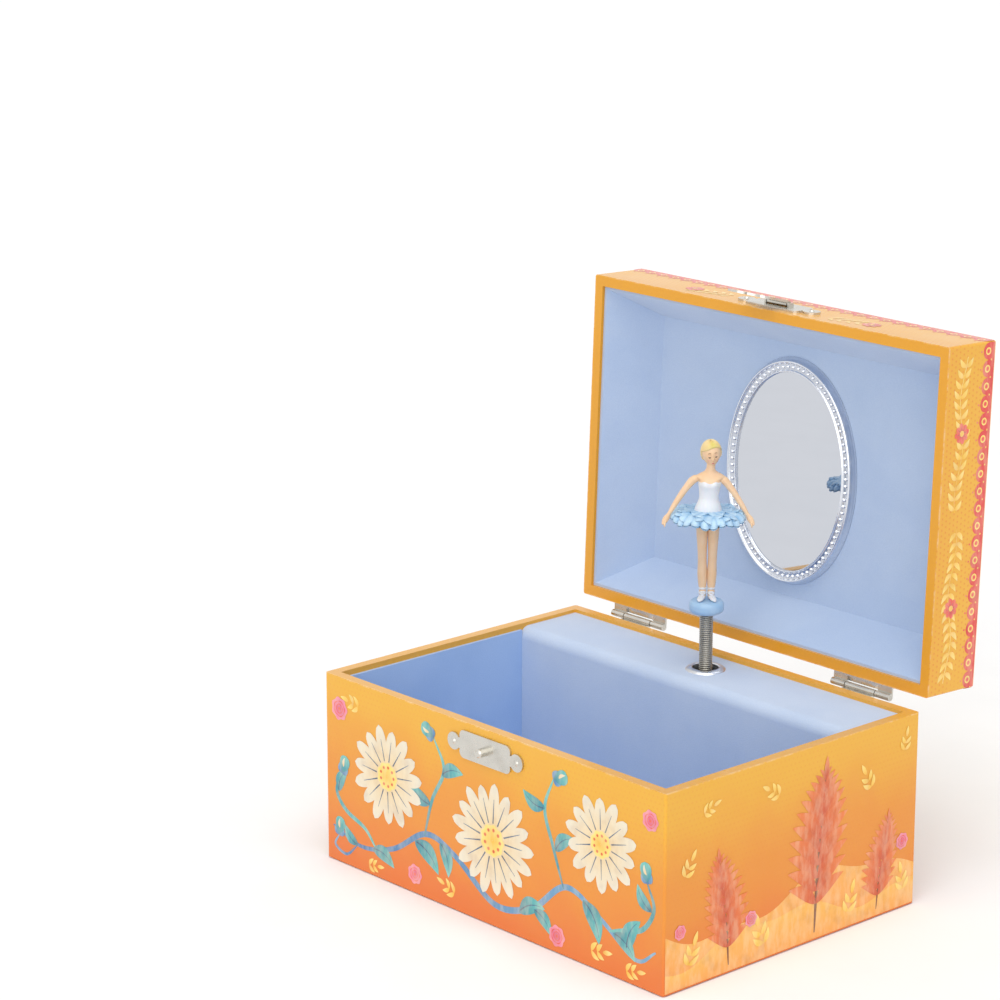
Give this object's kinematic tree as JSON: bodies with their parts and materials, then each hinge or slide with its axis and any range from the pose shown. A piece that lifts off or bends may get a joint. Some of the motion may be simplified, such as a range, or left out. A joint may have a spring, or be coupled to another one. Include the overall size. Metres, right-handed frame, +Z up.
{
  "type": "ballerina jewellery box",
  "caption": "Paper-covered wind-up jewellery box with a lined tray, a mirrored hinged lid, a hasp latch and a dancer on a spring that turns to a pinned-cylinder movement.",
  "frame": {"origin": "centre of the underside, on the surface the box stands on", "axes": "+X to the right, +Y to the back where the hinges and the key are, +Z up; the latch faces -Y and the lid stands open at rest"},
  "size_m": [0.165, 0.1538, 0.1976],
  "materials": {
    "board": "raw fibreboard",
    "print_paper": "printed, satin",
    "under_paper": "plain, matte",
    "flock": "flocked, matte",
    "nickel": "bright nickel plate",
    "frame_silver": "silvered, beaded",
    "mirror": "polished",
    "zinc": "die cast",
    "steel": "ground",
    "brass": "turned",
    "fan_plastic": "moulded",
    "disc_blue": "moulded",
    "figure_paint": "moulded and painted",
    "tutu_blue": "moulded, glittered"
  },
  "bodies": {
    "base": {"base_bottom_board": "board", "base_front_board": "board", "base_back_board": "board", "base_left_board": "board", "base_right_board": "board", "base_wrap": "print_paper", "underside_sheet": "under_paper", "tray_floor_lining": "flock", "tray_front_lining": "flock", "tray_left_lining": "flock", "tray_right_lining": "flock", "movement_cover": "flock", "deck_eyelet": "nickel", "hinge_left_base_leaf": "nickel", "hinge_right_base_leaf": "nickel", "hinge_pins": "nickel", "hinge_base_nails": "nickel", "catch_plate": "nickel", "catch_stud": "nickel", "catch_nails": "nickel", "movement_frame": "zinc", "movement_screws": "steel", "frame_screws": "steel", "comb": "steel", "governor_bracket": "steel"},
    "lid": {"lid_top_board": "board", "lid_front_board": "board", "lid_back_board": "board", "lid_left_board": "board", "lid_right_board": "board", "lid_wrap": "print_paper", "lid_liner_panel": "flock", "lid_liner_left": "flock", "lid_liner_right": "flock", "lid_liner_front": "flock", "lid_liner_back": "flock", "mirror_frame": "frame_silver", "mirror_glass": "mirror", "hinge_left_lid_leaf": "nickel", "hinge_right_lid_leaf": "nickel", "hinge_lid_nails": "nickel", "latch_lid_plate": "nickel", "latch_lid_nails": "nickel"},
    "hasp": {"latch_hasp": "nickel"},
    "key": {"winding_key": "nickel", "winding_arbor": "steel"},
    "barrel": {"spring_barrel": "brass", "barrel_cap": "brass", "mainspring": "steel"},
    "cylinder": {"pinned_cylinder": "brass", "cylinder_arbor": "steel", "cylinder_pinion": "brass", "dancer_hub": "brass"},
    "governor": {"governor_wheel": "brass"},
    "fly": {"fly_worm": "steel", "fly_fan": "fan_plastic"},
    "dancer_stem": {"dancer_spring": "steel"},
    "dancer": {"dancer_disc": "disc_blue", "dancer_figure": "figure_paint", "dancer_tutu": "tutu_blue"}
  },
  "joints": [
    {"name": "lid_hinge", "type": "hinge", "parent": "base", "child": "lid", "pos_m": [0, 0.0626, 0.06755], "axis": [1, 0, 0], "range_deg": [0, 92.4]},
    {"name": "hasp_swing", "type": "hinge", "parent": "lid", "child": "hasp", "pos_m": [0, 0.0754, 0.19022], "axis": [-1, 0, 0], "range_deg": [-13, 105]},
    {"name": "key_turn", "type": "hinge", "parent": "base", "child": "key", "pos_m": [0, 0.0556, 0.0185], "axis": [0, 1, 0], "continuous": true},
    {"name": "barrel_spin", "type": "hinge", "parent": "base", "child": "barrel", "pos_m": [0, 0.0556, 0.0185], "axis": [0, 1, 0], "continuous": true},
    {"name": "cylinder_spin", "type": "hinge", "parent": "base", "child": "cylinder", "pos_m": [0, 0.0424, 0.043], "axis": [0, 0, 1], "continuous": true},
    {"name": "governor_spin", "type": "hinge", "parent": "base", "child": "governor", "pos_m": [-0.01409, 0.0424, 0.02363], "axis": [0, 1, 0], "continuous": true},
    {"name": "fly_spin", "type": "hinge", "parent": "base", "child": "fly", "pos_m": [-0.02179, 0.04378, 0.02363], "axis": [0, 0, 1], "continuous": true},
    {"name": "dancer_bend", "type": "hinge", "parent": "base", "child": "dancer_stem", "pos_m": [0, 0.0424, 0.0755], "axis": [1, 0, 0], "range_deg": [0, 105], "deforming": ["dancer_spring"]},
    {"name": "dancer_spin", "type": "hinge", "parent": "dancer_stem", "child": "dancer", "pos_m": [0, 0.0424, 0.1], "axis": [0, 0, 1], "continuous": true}
  ],
  "couplings": [
    {"joint": "dancer_bend", "follows": "lid_hinge", "ratio": 1.1364},
    {"joint": "cylinder_spin", "follows": "barrel_spin", "ratio": -3.3},
    {"joint": "governor_spin", "follows": "barrel_spin", "ratio": -4},
    {"joint": "fly_spin", "follows": "barrel_spin", "ratio": 80},
    {"joint": "dancer_spin", "follows": "barrel_spin", "ratio": -3.3}
  ]
}
